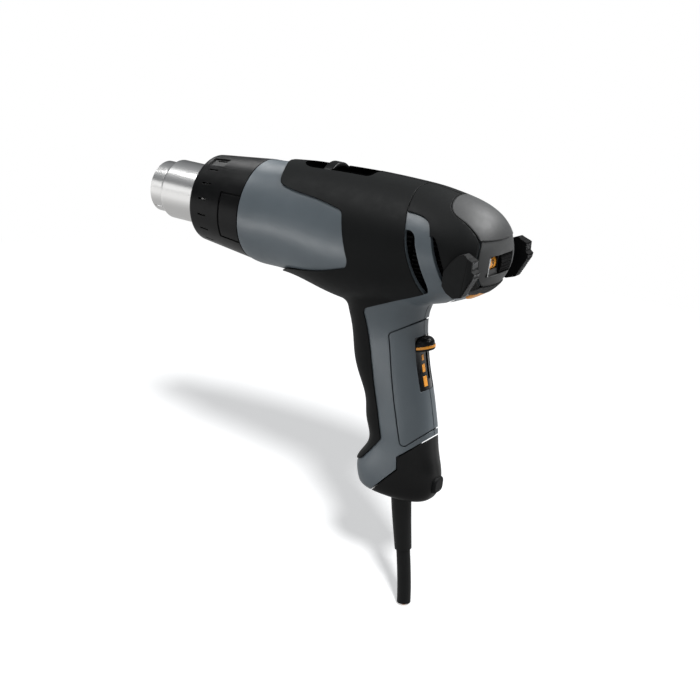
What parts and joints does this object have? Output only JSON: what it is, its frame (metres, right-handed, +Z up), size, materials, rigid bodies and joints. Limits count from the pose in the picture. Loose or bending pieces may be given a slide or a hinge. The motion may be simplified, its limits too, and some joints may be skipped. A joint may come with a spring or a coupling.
{
  "type": "heat gun",
  "caption": "Pistol-grip hot air gun with steel outlet, slip-off guard sleeve, slide switch, rear heat dial, filter door, hanging eye and stand feet.",
  "frame": {"origin": "centre of the outlet nozzle's mouth, on the barrel axis", "axes": "+X back along the barrel, away from the air jet; +Z up, away from the grip; -Y the user's left"},
  "size_m": [0.2533, 0.082, 0.2763],
  "materials": {
    "nozzle_steel": "brushed, ground along the tube",
    "black_hard": "fine moulded grain",
    "black_soft": "soft-touch matte",
    "void_black": "dull, inside recesses",
    "gloss_black": "polished",
    "grey_shell": "satin moulded",
    "cap_grey": "satin, slightly glossier than the shell",
    "belly_grey": "satin moulded",
    "pad_rubber": "ribbed, matte",
    "orange_plastic": "semi-gloss",
    "cable_rubber": "smooth matte",
    "copper": "drawn",
    "zinc_steel": "zinc plated",
    "dark_steel": "phosphated",
    "ceramic_white": "fired, unglazed",
    "heating_wire": "oxidised",
    "mica": "flaky sheet",
    "fan_plastic": "moulded",
    "board_green": "solder mask",
    "aluminium_raw": "extruded",
    "filter_foam": "open-cell foam",
    "magnet_grey": "sintered"
  },
  "bodies": {
    "housing": {"outlet_nozzle": "nozzle_steel", "nozzle_support_ring": "zinc_steel", "mica_tube": "mica", "heater_core": "ceramic_white", "heater_coils": "heating_wire", "temperature_probe": "zinc_steel", "thermal_cutout": "black_hard", "fan_housing": "fan_plastic", "motor_can": "zinc_steel", "motor_end_bell": "black_hard", "motor_bearings": "copper", "motor_magnets": "magnet_grey", "motor_brushes": "magnet_grey", "motor_cradle": "fan_plastic", "left_housing": "grey_shell", "right_housing": "grey_shell", "left_soft_cover": "black_soft", "right_soft_cover": "black_soft", "eye_tray": "void_black", "hanging_bridge": "black_hard", "left_rear_panel": "black_soft", "right_rear_panel": "black_soft", "left_inlet_grille": "void_black", "right_inlet_grille": "void_black", "left_stand_foot": "void_black", "right_stand_foot": "void_black", "left_foot_pad": "pad_rubber", "right_foot_pad": "pad_rubber", "rear_cap": "cap_grey", "dial_bezel": "black_hard", "dial_potentiometer": "black_hard", "control_board": "board_green", "heat_sink": "aluminium_raw", "dust_filter": "filter_foam", "left_grip_panel": "grey_shell", "right_grip_panel": "grey_shell", "switch_bezel": "gloss_black", "switch_marks": "orange_plastic", "switch_block": "black_hard", "handle_base": "black_hard", "heel_bumper": "black_soft", "strain_relief": "cable_rubber", "power_cable": "cable_rubber", "cable_clamp": "black_hard", "cable_cores": "copper", "terminal_block": "ceramic_white", "housing_screws": "dark_steel"},
    "sleeve": {"protective_sleeve": "black_hard"},
    "fan_rotor": {"fan_impeller": "fan_plastic", "motor_shaft": "zinc_steel", "motor_armature": "dark_steel", "motor_commutator": "copper"},
    "dial": {"temperature_dial": "void_black", "dial_scale": "orange_plastic"},
    "slider": {"switch_slider": "black_hard", "slider_stripe": "orange_plastic"},
    "door": {"filter_door": "belly_grey", "door_grip": "cap_grey", "latch_spring": "zinc_steel"},
    "latch": {"door_latch": "orange_plastic"}
  },
  "joints": [
    {"name": "sleeve_slide", "type": "slide", "parent": "housing", "child": "sleeve", "axis": [-1, 0, 0], "range_m": [0, 0.09]},
    {"name": "fan_spin", "type": "hinge", "parent": "housing", "child": "fan_rotor", "pos_m": [0.17, 0, 0], "axis": [1, 0, 0], "continuous": true},
    {"name": "dial_turn", "type": "hinge", "parent": "housing", "child": "dial", "pos_m": [0.2412, 0, 0.0016], "axis": [0, 1, 0], "range_deg": [0, 288]},
    {"name": "switch_slide", "type": "slide", "parent": "housing", "child": "slider", "axis": [0.2521, 0, -0.9677], "range_m": [0, 0.0205]},
    {"name": "door_slide", "type": "slide", "parent": "housing", "child": "door", "axis": [1, 0, 0], "range_m": [0, 0.034]},
    {"name": "latch_press", "type": "slide", "parent": "door", "child": "latch", "axis": [0, 0, 1], "range_m": [0, 0.0012], "stiffness_N_per_m": 300, "deforming": ["latch_spring"]}
  ]
}
